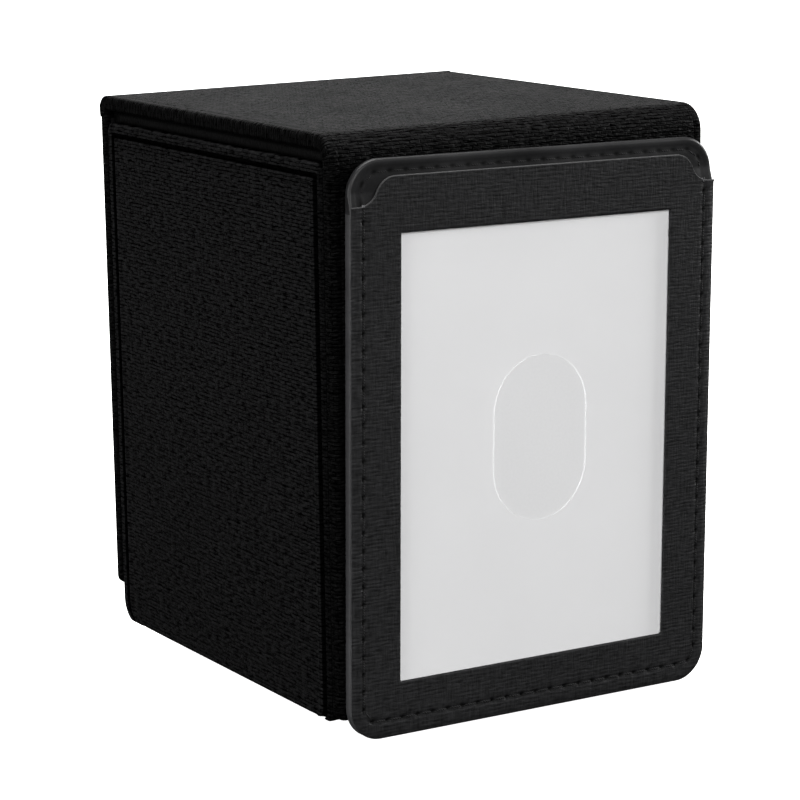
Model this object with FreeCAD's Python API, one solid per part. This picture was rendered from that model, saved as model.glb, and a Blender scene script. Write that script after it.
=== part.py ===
"""Card deck box: a rigid tray, an L-shaped wrap-over lid on a living hinge, and a card display
pocket sewn to the front of the lid.

Frame: millimetres, +Z up, -Y is the front. The origin is the centre of the whole object's
bounding box in X and Y, on the surface that the box stands on.
"""
import FreeCAD, Part
import math
import os

V = FreeCAD.Vector

# ---- driving dimensions -------------------------------------------------------------------
BOX_W = 81.6                # width over the lid
BOX_D = 88.9                # depth from the lid's front face to the back cover
BOX_H = 111.0               # height from the table to the top of the lid
POCKET_STACK = 2.4          # how far the display pocket stands in front of the lid
THREAD_PROUD = 0.15         # how far its thread stands in front of that
TOP_THREAD_PROUD = 0.05     # the sunk thread across the top, in front of the back layer

PANEL_T = 2.8               # lid panels: skin + board + lining
BACK_T = 2.6                # back cover: skin + board
SKIN_T = 0.8                # covered leather skin
BOARD_T = 1.4               # stiffener boards
LID_LINING_T = 0.6
TURN_IN = 1.2               # width of the skin's turned-in rim round a board
LID_CORNER_R = 5.0
LID_INNER_R = 2.2
LID_REAR_GAP = 2.6          # from the lid's rear edge to the back face
LID_LIFT = 5.0              # lower edge of the lid's front panel above the table

WALL_T = 2.4
LINING_T = 0.8
LID_GAP = 0.3               # between the tray and the closed lid
UNDERSIDE_T = 4.0           # base pad, set in under the tray; it clears the hanging pocket
UNDERSIDE_INSET = 8.6
TRAY_REAR_R = 4.5           # lower rear corner of the tray, seen from the side
TRAY_FRONT_R = 2.0
BACK_COVER_LIFT = 11.0      # lower edge of the back cover above the table
BACK_COVER_TOP = BOX_H - 3.2

SIDE_PANEL_T = 1.6
SIDE_RECESS = 0.3           # side panel's face behind the lid's side edge
SIDE_TOP_GAP = 2.4          # recessed wall showing between side panel and lid
SIDE_BEAD_W = 2.1           # rolled border round the side panel
SIDE_GROOVE_W = 0.7
SIDE_GROOVE_T = 0.6

NOTCH_R = 12.0              # thumb notch in the front wall
MAGNET_R = 5.0
MAGNET_X = 24.0
MAGNET_Z = 30.0

POCKET_W = 79.8
POCKET_H = 105.1
POCKET_Z = 0.7              # lower edge above the table
POCKET_R = 6.3
POCKET_SHIFT = 1.1          # the sewn pocket sits to the right of the lid's middle
POCKET_TURN = 1.07          # and hangs a little askew, its right side lower, in degrees
POCKET_BACK_T = 1.2
WELT_T = 0.5
FILM_T = 0.2
POCKET_FRONT_T = POCKET_STACK - POCKET_BACK_T - WELT_T - FILM_T
WELT_W = 6.5
MOUTH_DROP = 2.7            # pocket mouth below the pocket's top, in the middle
MOUTH_SIDE_DROP = 8.1       # and at the two side seams
MOUTH_FLAT = 1.5            # level stretch at each side seam
MOUTH_RUN = 7.6             # width of the S between the two levels
WINDOW_W = 59.2
WINDOW_H = 81.8
WINDOW_LIFT = 10.15         # window above the pocket's lower edge
THUMB_W = 20.4
THUMB_H = 31.0
THUMB_SHIFT_X = 0.9         # thumb slot off the window's middle
THUMB_SHIFT_Z = 0.8
STITCH_INSET = 2.5          # at the sides
STITCH_BOTTOM_INSET = 3.4
STITCH_R = 2.6              # the seam's lower corners
STITCH_TOP_INSET = 2.5
STITCH_W = 0.5

CARD_W = 63.0
CARD_H = 88.0
CARD_T = 0.3
CARD_BACK_GAP = 0.1

# ---- places worked out from them ------------------------------------------------------------
DEPTH = BOX_D + POCKET_STACK + THREAD_PROUD
BACK_Y = DEPTH / 2
FRONT_Y = BACK_Y - BOX_D                    # front face of the lid
SIDE_X = BOX_W / 2
LID_INNER_Y = FRONT_Y + PANEL_T
LID_UNDER_Z = BOX_H - PANEL_T
LID_REAR_Y = BACK_Y - LID_REAR_GAP
WALL_FRONT_Y = LID_INNER_Y + LID_GAP
WALL_BACK_Y = BACK_Y - BACK_T
WALL_X = SIDE_X - SIDE_RECESS - SIDE_PANEL_T
WALL_TOP = LID_UNDER_Z - LID_GAP
FLOOR_TOP = UNDERSIDE_T + WALL_T
WELL_X = WALL_X - WALL_T                    # inner faces of the walls
WELL_FRONT_Y = WALL_FRONT_Y + WALL_T
WELL_BACK_Y = WALL_BACK_Y - WALL_T
LINING_TOP = WALL_TOP - 1.0
POCKET_TOP = POCKET_Z + POCKET_H
POCKET_X = POCKET_W / 2
WELT_Y = FRONT_Y - POCKET_BACK_T            # front face of the pocket's back layer
FILM_Y = WELT_Y - WELT_T
POCKET_FRONT_Y = FILM_Y - FILM_T
POCKET_FACE_Y = POCKET_FRONT_Y - POCKET_FRONT_T
WINDOW_Z = POCKET_Z + WINDOW_LIFT
POCKET_MIDDLE_Z = POCKET_Z + POCKET_H / 2
TURN = math.radians(POCKET_TURN)
POCKET_REACH = (POCKET_SHIFT + POCKET_R + (POCKET_X - POCKET_R) * math.cos(TURN)
                + (POCKET_H / 2 - POCKET_R) * math.sin(TURN))
MIDDLE_X = -(POCKET_REACH - SIDE_X) / 2     # the box's own middle plane, from the origin


# ---- helpers ------------------------------------------------------------------------------
def block(x0, x1, y0, y1, z0, z1):
    return Part.makeBox(x1 - x0, y1 - y0, z1 - z0, V(x0, y0, z0))


def in_xz(a, b):
    return V(a, 0, b)


def in_yz(a, b):
    return V(0, a, b)


def in_xy(a, b):
    return V(a, b, 0)


def corner_points(before, corner, after, radius):
    """Start, middle and end of the tangent arc that rounds one corner of an outline."""
    to_before = (before - corner).normalize()
    to_after = (after - corner).normalize()
    half = to_before.getAngle(to_after) / 2
    setback = radius / math.tan(half)
    bisector = (to_before + to_after).normalize()
    centre = corner + bisector * (radius / math.sin(half))
    middle = centre - bisector * radius
    return corner + to_before * setback, middle, corner + to_after * setback


def outline(plane, corners):
    """A closed wire through (a, b, radius) corners laid in a plane."""
    points = [plane(a, b) for a, b, _ in corners]
    spots = []
    for i, (_, _, radius) in enumerate(corners):
        if radius:
            after = points[(i + 1) % len(points)]
            spots.append(corner_points(points[i - 1], points[i], after, radius))
        else:
            spots.append((points[i],))
    edges = []
    for i, spot in enumerate(spots):
        if len(spot) == 3:
            edges.append(Part.Arc(*spot).toShape())
        start = spot[-1]
        end = spots[(i + 1) % len(spots)][0]
        if start.distanceToPoint(end) > 1e-6:
            edges.append(Part.LineSegment(start, end).toShape())
    return Part.Wire(edges)


def prism(plane, corners, low, high):
    """The outline's face, swept along the axis that its plane leaves out."""
    along = {in_xz: V(0, 1, 0), in_yz: V(1, 0, 0), in_xy: V(0, 0, 1)}[plane]
    face = Part.Face(outline(plane, corners))
    face.translate(along * low)
    return face.extrude(along * (high - low))


def rectangle(a0, a1, b0, b1, radius=0.0):
    return [(a0, b0, radius), (a1, b0, radius), (a1, b1, radius), (a0, b1, radius)]


def edges_at(shape, axis, value):
    """Edges of a shape that lie wholly in the plane axis = value."""
    found = []
    for edge in shape.Edges:
        box = edge.BoundBox
        low = getattr(box, axis + "Min")
        high = getattr(box, axis + "Max")
        if abs(low - value) < 1e-4 and abs(high - value) < 1e-4:
            found.append(edge)
    return found


def rounded(shape, radius, axis, *values):
    """Fillet every edge that lies in one of the given planes."""
    edges = []
    for value in values:
        edges += edges_at(shape, axis, value)
    return shape.makeFillet(radius, edges)


def both_sides(solid):
    """The solid and its mirror image across the middle plane X = 0."""
    return Part.makeCompound([solid, solid.mirror(V(0, 0, 0), V(1, 0, 0))])


def disc(x, y0, y1, z, radius):
    return Part.makeCylinder(radius, y1 - y0, V(x, y0, z), V(0, 1, 0))


def on_left(maker):
    return maker()


def on_right(maker):
    return maker().mirror(V(0, 0, 0), V(1, 0, 0))


def hung(maker):
    """A piece of the display pocket, drawn upright and centred, put where the pocket hangs."""
    piece = maker()
    piece.rotate(in_xz(0, POCKET_MIDDLE_Z), V(0, 1, 0), POCKET_TURN)
    piece.translate(V(POCKET_SHIFT, 0, 0))
    return piece


# ---- tray -----------------------------------------------------------------------------------
def tray_profile(rear_y, top_z, rear_top_r):
    """Side view of the tray, as an outline in the YZ plane."""
    return [
        (WALL_FRONT_Y, UNDERSIDE_T, TRAY_FRONT_R),
        (rear_y, UNDERSIDE_T, TRAY_REAR_R),
        (rear_y, top_z, rear_top_r),
        (WALL_FRONT_Y, top_z, LID_INNER_R),
    ]


def within_tray(shape):
    return shape.common(prism(in_yz, tray_profile(WALL_BACK_Y, WALL_TOP, 0.0), -WALL_X, WALL_X))


def tray_floor():
    return within_tray(block(-WALL_X, WALL_X, WALL_FRONT_Y, WALL_BACK_Y, UNDERSIDE_T, FLOOR_TOP))


def side_wall():
    wall = block(-WALL_X, -WELL_X, WALL_FRONT_Y, WALL_BACK_Y, FLOOR_TOP, WALL_TOP)
    return within_tray(rounded(wall, 0.8, "Z", WALL_TOP))


def thumb_notch(y0, y1):
    """The space of the half-round notch, flared at the top of the wall."""
    flare = 2.0
    low = WALL_TOP - NOTCH_R
    corners = [
        (-NOTCH_R, WALL_TOP, flare),
        (-NOTCH_R, low, NOTCH_R - 0.01),
        (NOTCH_R, low, NOTCH_R - 0.01),
        (NOTCH_R, WALL_TOP, flare),
        (NOTCH_R + 2 * flare, WALL_TOP, 0),
        (NOTCH_R + 2 * flare, WALL_TOP + 2 * flare, 0),
        (-NOTCH_R - 2 * flare, WALL_TOP + 2 * flare, 0),
        (-NOTCH_R - 2 * flare, WALL_TOP, 0),
    ]
    return prism(in_xz, corners, y0, y1)


def front_wall():
    wall = block(-WELL_X, WELL_X, WALL_FRONT_Y, WELL_FRONT_Y, FLOOR_TOP, WALL_TOP)
    wall = wall.cut(thumb_notch(WALL_FRONT_Y - 1, WELL_FRONT_Y + 1))
    return within_tray(wall.cut(tray_magnets()))


def tray_magnet():
    return disc(-MAGNET_X, WELL_FRONT_Y - BOARD_T, WELL_FRONT_Y, MAGNET_Z, MAGNET_R)


def tray_magnets():
    return both_sides(tray_magnet())


def back_wall():
    return within_tray(block(-WELL_X, WELL_X, WELL_BACK_Y, WALL_BACK_Y, FLOOR_TOP, WALL_TOP))


def floor_lining():
    return block(-WELL_X, WELL_X, WELL_FRONT_Y, WELL_BACK_Y, FLOOR_TOP, FLOOR_TOP + LINING_T)


def side_lining():
    z0 = FLOOR_TOP + LINING_T
    return block(-WELL_X, -WELL_X + LINING_T, WELL_FRONT_Y, WELL_BACK_Y, z0, LINING_TOP)


def front_lining():
    x = WELL_X - LINING_T
    y1 = WELL_FRONT_Y + LINING_T
    sheet = block(-x, x, WELL_FRONT_Y, y1, FLOOR_TOP + LINING_T, LINING_TOP)
    return sheet.cut(thumb_notch(WELL_FRONT_Y - 1, y1 + 1))


def back_lining():
    x = WELL_X - LINING_T
    return block(-x, x, WELL_BACK_Y - LINING_T, WELL_BACK_Y, FLOOR_TOP + LINING_T, LINING_TOP)


def side_panel():
    """Raised covered panel with a rolled border on its top, front and rear edges."""
    y0 = WALL_FRONT_Y
    y1 = WALL_BACK_Y - 0.2
    z0 = UNDERSIDE_T
    z1 = LID_UNDER_Z - SIDE_TOP_GAP
    x_face = -WALL_X - SIDE_PANEL_T
    panel = prism(in_yz, tray_profile(y1, z1, 2.0), x_face, -WALL_X)
    panel = rounded(panel, 0.9, "X", x_face)
    outer = SIDE_BEAD_W
    inner = SIDE_BEAD_W + SIDE_GROOVE_W
    below = z0 - 1
    ring = prism(in_yz, [(y0 + outer, below, 0), (y1 - outer, below, 0),
                         (y1 - outer, z1 - outer, 1.5), (y0 + outer, z1 - outer, 1.5)],
                 x_face - 1, x_face + SIDE_GROOVE_T)
    core = prism(in_yz, [(y0 + inner, below, 0), (y1 - inner, below, 0),
                         (y1 - inner, z1 - inner, 1.0), (y0 + inner, z1 - inner, 1.0)],
                 x_face - 2, x_face + 1)
    return panel.cut(ring.cut(core))


def underside_panel():
    inset = UNDERSIDE_INSET
    corners = rectangle(-WALL_X + inset, WALL_X - inset, WALL_FRONT_Y + inset, WALL_BACK_Y - inset, 3.0)
    panel = prism(in_xy, corners, 0, UNDERSIDE_T)
    return rounded(panel, 0.6, "Z", 0.0)


# ---- back cover and hinge -----------------------------------------------------------------
def back_board_space():
    return block(-SIDE_X + TURN_IN, SIDE_X - TURN_IN, WALL_BACK_Y, WALL_BACK_Y + BOARD_T,
                 BACK_COVER_LIFT + TURN_IN, BACK_COVER_TOP - TURN_IN)


def back_cover():
    corners = rectangle(-SIDE_X, SIDE_X, BACK_COVER_LIFT, BACK_COVER_TOP, 1.0)
    cover = prism(in_xz, corners, WALL_BACK_Y, BACK_Y)
    cover = rounded(cover, 0.9, "Y", BACK_Y)
    return cover.cut(back_board_space())


def hinge_strip():
    """Flexible strip from the back cover's top edge, round the corner, to the lid's rear edge."""
    r_out = LID_REAR_GAP
    corners = [
        (BACK_Y, BACK_COVER_TOP, 0),
        (BACK_Y, BOX_H, r_out),
        (LID_REAR_Y, BOX_H, 0),
        (LID_REAR_Y, BOX_H - SKIN_T, 0),
        (BACK_Y - SKIN_T, BOX_H - SKIN_T, r_out - SKIN_T),
        (BACK_Y - SKIN_T, BACK_COVER_TOP, 0),
    ]
    return prism(in_yz, corners, -SIDE_X + TURN_IN, SIDE_X - TURN_IN)


# ---- lid ------------------------------------------------------------------------------------
def top_board_space(z0, z1):
    return block(-SIDE_X + TURN_IN, SIDE_X - TURN_IN, FRONT_Y + LID_CORNER_R + 0.4, LID_REAR_Y - TURN_IN,
                 z0, z1)


def front_board_space(y0, y1):
    return block(-SIDE_X + TURN_IN, SIDE_X - TURN_IN, y0, y1,
                 LID_LIFT + TURN_IN, BOX_H - LID_CORNER_R - 0.4)


def lid_cover():
    """Leather skin of the L-shaped lid, turned in round its boards."""
    corners = [
        (LID_REAR_Y, BOX_H, 0),
        (FRONT_Y, BOX_H, LID_CORNER_R),
        (FRONT_Y, LID_LIFT, 0.9),
        (LID_INNER_Y, LID_LIFT, 0.6),
        (LID_INNER_Y, LID_UNDER_Z, LID_INNER_R),
        (LID_REAR_Y, LID_UNDER_Z, 0.6),
    ]
    cover = prism(in_yz, corners, -SIDE_X, SIDE_X)
    cover = rounded(cover, 0.55, "X", -SIDE_X, SIDE_X)
    cover = cover.cut(top_board_space(LID_UNDER_Z - 1, BOX_H - SKIN_T))
    return cover.cut(front_board_space(FRONT_Y + SKIN_T, LID_INNER_Y + 1))


def lid_top_board():
    return top_board_space(LID_UNDER_Z + LID_LINING_T, BOX_H - SKIN_T)


def lid_magnet():
    return disc(-MAGNET_X, FRONT_Y + SKIN_T, FRONT_Y + SKIN_T + BOARD_T, MAGNET_Z, MAGNET_R)


def lid_front_board():
    board = front_board_space(FRONT_Y + SKIN_T, FRONT_Y + SKIN_T + BOARD_T)
    return board.cut(lid_magnets())


def lid_magnets():
    return both_sides(lid_magnet())


def lid_top_lining():
    return top_board_space(LID_UNDER_Z, LID_UNDER_Z + LID_LINING_T)


def lid_front_lining():
    return front_board_space(LID_INNER_Y - LID_LINING_T, LID_INNER_Y)


# ---- display pocket -----------------------------------------------------------------------
def pocket_back():
    corners = rectangle(-POCKET_X, POCKET_X, POCKET_Z, POCKET_TOP, POCKET_R)
    layer = prism(in_xz, corners, WELT_Y, FRONT_Y)
    return rounded(layer, 1.0, "Y", WELT_Y)


def mouth_curve():
    """S-shaped step of the pocket's mouth on the left, as three points for each of two arcs."""
    run = MOUTH_RUN / 2
    rise = (MOUTH_SIDE_DROP - MOUTH_DROP) / 2
    turn = 2 * math.atan2(rise, run)
    radius = run / math.sin(turn)
    start = in_xz(-POCKET_X + MOUTH_FLAT, POCKET_TOP - MOUTH_SIDE_DROP)
    middle = start + in_xz(run, rise)
    end = start + in_xz(2 * run, 2 * rise)
    low_centre = start + in_xz(0, radius)
    high_centre = end - in_xz(0, radius)
    low_mid = low_centre + in_xz(math.sin(turn / 2), -math.cos(turn / 2)) * radius
    high_mid = high_centre + in_xz(-math.sin(turn / 2), math.cos(turn / 2)) * radius
    return start, low_mid, middle, high_mid, end


def mirrored(point):
    return V(-point.x, point.y, point.z)


def pocket_sheet(y0, y1):
    """A layer of the pocket's front: rounded lower corners and the scooped mouth."""
    start, low_mid, middle, high_mid, end = mouth_curve()
    side = in_xz(-POCKET_X, start.z)
    low_left = corner_points(side, in_xz(-POCKET_X, POCKET_Z), in_xz(0, POCKET_Z), POCKET_R)
    edges = [
        Part.LineSegment(mirrored(end), end),
        Part.Arc(end, high_mid, middle),
        Part.Arc(middle, low_mid, start),
        Part.LineSegment(start, side),
        Part.LineSegment(side, low_left[0]),
        Part.Arc(*low_left),
        Part.LineSegment(low_left[2], mirrored(low_left[2])),
        Part.Arc(*[mirrored(p) for p in reversed(low_left)]),
        Part.LineSegment(mirrored(low_left[0]), mirrored(side)),
        Part.LineSegment(mirrored(side), mirrored(start)),
        Part.Arc(mirrored(start), mirrored(low_mid), mirrored(middle)),
        Part.Arc(mirrored(middle), mirrored(high_mid), mirrored(end)),
    ]
    face = Part.Face(Part.Wire([edge.toShape() for edge in edges]))
    face.translate(V(0, y0, 0))
    return face.extrude(V(0, y1 - y0, 0))


def pocket_welt():
    """U-shaped spacer in the side and bottom seams."""
    top = POCKET_TOP - MOUTH_SIDE_DROP
    z1 = POCKET_Z + WELT_W
    x1 = POCKET_X - WELT_W
    corners = [
        (-POCKET_X, top, 0), (-POCKET_X, POCKET_Z, POCKET_R), (POCKET_X, POCKET_Z, POCKET_R),
        (POCKET_X, top, 0), (x1, top, 0), (x1, z1, 2.0), (-x1, z1, 2.0), (-x1, top, 0),
    ]
    return prism(in_xz, corners, FILM_Y, WELT_Y)


def window_film():
    sheet = pocket_sheet(POCKET_FRONT_Y, FILM_Y)
    x = THUMB_SHIFT_X
    z = WINDOW_Z + WINDOW_H / 2 + THUMB_SHIFT_Z
    corners = rectangle(x - THUMB_W / 2, x + THUMB_W / 2, z - THUMB_H / 2, z + THUMB_H / 2,
                        THUMB_W / 2 - 0.01)
    return sheet.cut(prism(in_xz, corners, POCKET_FRONT_Y - 1, FILM_Y + 1))


def pocket_front():
    sheet = pocket_sheet(POCKET_FACE_Y, POCKET_FRONT_Y)
    window = block(-WINDOW_W / 2, WINDOW_W / 2, POCKET_FACE_Y - 1, POCKET_FRONT_Y + 1,
                   WINDOW_Z, WINDOW_Z + WINDOW_H)
    return sheet.cut(window)


def seam_thread():
    """Thread of the side and bottom seams, lying on the pocket's front layer."""
    top = POCKET_TOP - MOUTH_SIDE_DROP - 1.0
    corners = []
    for side, grow in ((-1, 0.5), (1, 0.5), (1, -0.5), (-1, -0.5)):
        x = side * (POCKET_X - STITCH_INSET + grow * STITCH_W)
        z = POCKET_Z + STITCH_BOTTOM_INSET - grow * STITCH_W
        bend = (x, z, STITCH_R + grow * STITCH_W)
        end = (x, top, 0)
        first = (side < 0) == (grow > 0)
        corners += [end, bend] if first else [bend, end]
    return prism(in_xz, corners, POCKET_FACE_Y - THREAD_PROUD, POCKET_FACE_Y)


def top_thread():
    """Thread along the top of the pocket's back layer."""
    x = POCKET_X - POCKET_R
    z = POCKET_TOP - STITCH_TOP_INSET
    return block(-x, x, WELT_Y - TOP_THREAD_PROUD, WELT_Y, z - STITCH_W / 2, z + STITCH_W / 2)


def display_card():
    y1 = WELT_Y - CARD_BACK_GAP
    z0 = POCKET_Z + WELT_W
    corners = rectangle(-CARD_W / 2, CARD_W / 2, z0, z0 + CARD_H, 3.0)
    return prism(in_xz, corners, y1 - CARD_T, y1)


NODES = {
    "tray_floor": tray_floor,
    "tray_left_wall": lambda: on_left(side_wall),
    "tray_right_wall": lambda: on_right(side_wall),
    "tray_front_wall": front_wall,
    "tray_back_wall": back_wall,
    "tray_magnets": tray_magnets,
    "floor_lining": floor_lining,
    "left_lining": lambda: on_left(side_lining),
    "right_lining": lambda: on_right(side_lining),
    "front_lining": front_lining,
    "back_lining": back_lining,
    "left_side_panel": lambda: on_left(side_panel),
    "right_side_panel": lambda: on_right(side_panel),
    "underside_panel": underside_panel,
    "back_cover": back_cover,
    "back_board": back_board_space,
    "hinge_strip": hinge_strip,
    "lid_cover": lid_cover,
    "lid_top_board": lid_top_board,
    "lid_front_board": lid_front_board,
    "lid_magnets": lid_magnets,
    "lid_top_lining": lid_top_lining,
    "lid_front_lining": lid_front_lining,
    "pocket_back": lambda: hung(pocket_back),
    "pocket_welt": lambda: hung(pocket_welt),
    "window_film": lambda: hung(window_film),
    "pocket_front": lambda: hung(pocket_front),
    "seam_thread": lambda: hung(seam_thread),
    "top_thread": lambda: hung(top_thread),
    "display_card": lambda: hung(display_card),
}

os.makedirs("parts", exist_ok=True)
for name, make in NODES.items():
    shape = make()
    shape.translate(V(MIDDLE_X, 0, 0))
    if not shape.isValid():
        raise RuntimeError(name + " is not a valid solid")
    shape.exportStep("parts/" + name + ".step")
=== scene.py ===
"""Looks of the card deck box: leather wraps, stitched display pocket, linings, studio.

Lengths are in metres. X is to the right, -Y is the front, Z is up.
"""
import math

import bmesh
import bpy
import numpy as np
from mathutils import Matrix, Vector


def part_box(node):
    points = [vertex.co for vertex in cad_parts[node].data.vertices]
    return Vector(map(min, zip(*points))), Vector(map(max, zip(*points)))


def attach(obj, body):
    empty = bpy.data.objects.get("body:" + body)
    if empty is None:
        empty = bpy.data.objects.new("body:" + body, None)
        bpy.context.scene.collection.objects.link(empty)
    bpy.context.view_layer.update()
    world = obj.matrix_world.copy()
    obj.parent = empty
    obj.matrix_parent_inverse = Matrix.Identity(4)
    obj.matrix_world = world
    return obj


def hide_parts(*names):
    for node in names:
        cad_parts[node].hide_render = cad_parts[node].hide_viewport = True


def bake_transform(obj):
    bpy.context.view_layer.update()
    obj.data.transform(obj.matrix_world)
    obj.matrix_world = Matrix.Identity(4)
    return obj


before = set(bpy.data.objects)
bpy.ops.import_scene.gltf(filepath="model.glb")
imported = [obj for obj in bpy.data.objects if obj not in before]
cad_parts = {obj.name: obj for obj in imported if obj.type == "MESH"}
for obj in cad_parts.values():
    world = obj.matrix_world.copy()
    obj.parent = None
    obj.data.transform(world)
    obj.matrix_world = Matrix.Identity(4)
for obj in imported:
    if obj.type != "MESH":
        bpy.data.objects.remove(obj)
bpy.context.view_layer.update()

MM = 0.001
QUARTER = math.pi / 2

# ---- places taken from the frame --------------------------------------------------------------
lid_low, lid_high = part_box("lid_cover")
cover_low, cover_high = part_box("back_cover")
strip_low, strip_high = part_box("hinge_strip")
left_low, left_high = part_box("left_side_panel")
right_low, right_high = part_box("right_side_panel")
MIDDLE_X = (lid_low.x + lid_high.x) / 2
HALF_W = (lid_high.x - lid_low.x) / 2
BACK_LAYER_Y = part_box("pocket_back")[0].y       # front faces of the sewn pocket's layers
WELT_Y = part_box("pocket_welt")[0].y
FILM_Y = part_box("window_film")[0].y
FRONT_LAYER_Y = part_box("pocket_front")[0].y
CARD_FRONT_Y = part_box("display_card")[0].y
CARD_BACK_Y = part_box("display_card")[1].y

# ---- sizes of the leather work ------------------------------------------------------------------
PANEL_T = 2.8 * MM              # lid panels
LID_HOLLOW = 2.0 * MM           # hollow behind a skin, inside its turned-in rim
COVER_HOLLOW = 1.4 * MM
LID_CORNER_R = 5.0 * MM
RIM_R = 1.1 * MM                # rounding of a wrapped board's outer edge
RIM_INNER_R = 0.6 * MM
PLAN_R = 1.6 * MM               # its corners, seen face on
TURN_IN = 1.2 * MM              # width of the skin turned in behind a board
CREASE_INSET = 2.1 * MM         # crease in the skin along a board's edge
CREASE_HALF = 0.25 * MM
CREASE_D = 0.10 * MM
HINGE_T = 2.45 * MM
HINGE_EDGE_R = 0.35 * MM
HINGE_SWELL = 0.22 * MM         # how far the fold bulges at the rear
BEAD_W = 1.9 * MM               # rolled border of a side panel
BEAD_H = 0.16 * MM
GROOVE_W = 0.9 * MM             # groove inside the border, wider along the panel's front
FRONT_GROOVE_W = 1.6 * MM
GROOVE_D = 0.6 * MM

POCKET_X = 39.9 * MM            # the pocket is drawn upright about X = 0 and then hung in its place
POCKET_Z0 = 0.7 * MM
POCKET_Z1 = 105.8 * MM
POCKET_R = 6.3 * MM
POCKET_SHIFT = 1.1 * MM
POCKET_TURN = math.radians(1.07)
WELT_W = 6.5 * MM
SEAM_INSET = 2.5 * MM
SEAM_BOTTOM_INSET = 3.4 * MM
SEAM_TOP_INSET = 2.25 * MM
STITCH_PITCH = 3.27 * MM
MOUTH_DROP = 2.95 * MM          # mouth below the back layer's top: in the middle, and at its sides
MOUTH_SIDE_DROP = 8.1 * MM
MOUTH_FLAT = 1.5 * MM
MOUTH_RUN = 7.6 * MM
WINDOW_W = 59.2 * MM
WINDOW_H = 81.8 * MM
WINDOW_Z = POCKET_Z0 + 10.15 * MM
WINDOW_R = 0.45 * MM
THUMB_W = 20.4 * MM
THUMB_H = 31.0 * MM
THUMB_X = 0.9 * MM
THUMB_Z = WINDOW_Z + WINDOW_H / 2 + 0.8 * MM
CARD_W = 63.0 * MM
CARD_H = 88.0 * MM
CARD_R = 3.0 * MM
BACK_ROLL = 0.62 * MM           # rolled edge of the back layer, above and below the mouth
BACK_ROLL_SEWN = 0.12 * MM
FRONT_ROLL = 0.18 * MM
MARGIN_W = 1.7 * MM             # the front layer's edge is pressed back over this width
MARGIN_D = 0.26 * MM
THREAD_R = 0.20 * MM
THREAD_SAG = 0.05 * MM


# ---- mesh helpers -----------------------------------------------------------------------------
def make_object(name, points, faces, corner_uv, materials, face_slots=None, sharp=40.0, masks=None):
    """A closed mesh object with smooth shading, one UV map in metres and optional point masks."""
    mesh = bpy.data.meshes.new(name)
    mesh.from_pydata([tuple(p) for p in points], [], faces)
    layer = mesh.uv_layers.new(name="surface")
    layer.data.foreach_set("uv", np.asarray(corner_uv, float).ravel())
    for material in materials:
        mesh.materials.append(material)
    if face_slots is not None:
        mesh.polygons.foreach_set("material_index", face_slots)
    mesh.polygons.foreach_set("use_smooth", [True] * len(faces))
    for key, values in (masks or {}).items():
        attribute = mesh.attributes.new(key, "FLOAT", "POINT")
        attribute.data.foreach_set("value", np.asarray(values, np.float32))
    mesh.validate(clean_customdata=False)
    shell = bmesh.new()
    shell.from_mesh(mesh)
    bmesh.ops.recalc_face_normals(shell, faces=shell.faces)
    shell.to_mesh(mesh)
    shell.free()
    mesh.set_sharp_from_angle(angle=math.radians(sharp))
    obj = bpy.data.objects.new(name, mesh)
    bpy.context.scene.collection.objects.link(obj)
    return obj


def ring_faces(rows, columns, closed_rows=False):
    """Quads between consecutive closed rows of points; closed_rows joins the last row to the first."""
    faces = []
    last = rows if closed_rows else rows - 1
    for r in range(last):
        below = r * columns
        above = ((r + 1) % rows) * columns
        for c in range(columns):
            d = (c + 1) % columns
            faces.append((below + c, below + d, above + d, above + c))
    return faces


def end_caps(rows, columns):
    """The faces that close the first and the last row."""
    return [tuple(range(row * columns, (row + 1) * columns)) for row in (0, rows - 1)]


def planar_uv(points, faces, a, b):
    """UVs of every face corner, taken from two of the points' axes."""
    return [(points[i][a], points[i][b]) for face in faces for i in face]


def swept(name, rows, outline, vs, material):
    """A closed sweep of an outline, with UVs that run round it and along the sweep."""
    us = [0.0]
    for (x0, d0), (x1, d1) in zip(outline, outline[1:] + outline[:1]):
        us.append(us[-1] + math.hypot(x1 - x0, d1 - d0))
    columns = len(outline)
    points = [p for row in rows for p in row]
    uv = []
    for r in range(len(rows) - 1):
        for c in range(columns):
            uv += [(us[c], vs[r]), (us[c + 1], vs[r]), (us[c + 1], vs[r + 1]), (us[c], vs[r + 1])]
    caps = end_caps(len(rows), columns)
    return make_object(name, points, ring_faces(len(rows), columns) + caps,
                       uv + planar_uv(points, caps, 0, 2), [material])


def hang(obj):
    """Moves a piece of the pocket from its upright drawing to where the pocket hangs."""
    middle = (POCKET_Z0 + POCKET_Z1) / 2
    turn = Matrix.Rotation(POCKET_TURN, 4, "Y")
    obj.data.transform(Matrix.Translation((MIDDLE_X + POCKET_SHIFT, 0, middle)) @ turn
                       @ Matrix.Translation((0, 0, -middle)))
    return obj


def place(obj, body, slot, *nodes):
    """Puts a piece on its body and hides the nodes that it stands in for. The slot argument is not used."""
    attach(obj, body)
    if nodes:
        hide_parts(*nodes)
    return obj


def arc(steps):
    """Angles from 0 to a quarter turn."""
    return [QUARTER * i / steps for i in range(steps + 1)]


def smooth_step(t):
    t = min(1.0, max(0.0, t))
    return t * t * (3 - 2 * t)


def corner_pull(distance, radius):
    """How far a rounded corner draws back at a distance from the edge."""
    return radius - math.sqrt(max(0.0, radius ** 2 - max(0.0, radius - distance) ** 2))


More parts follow.
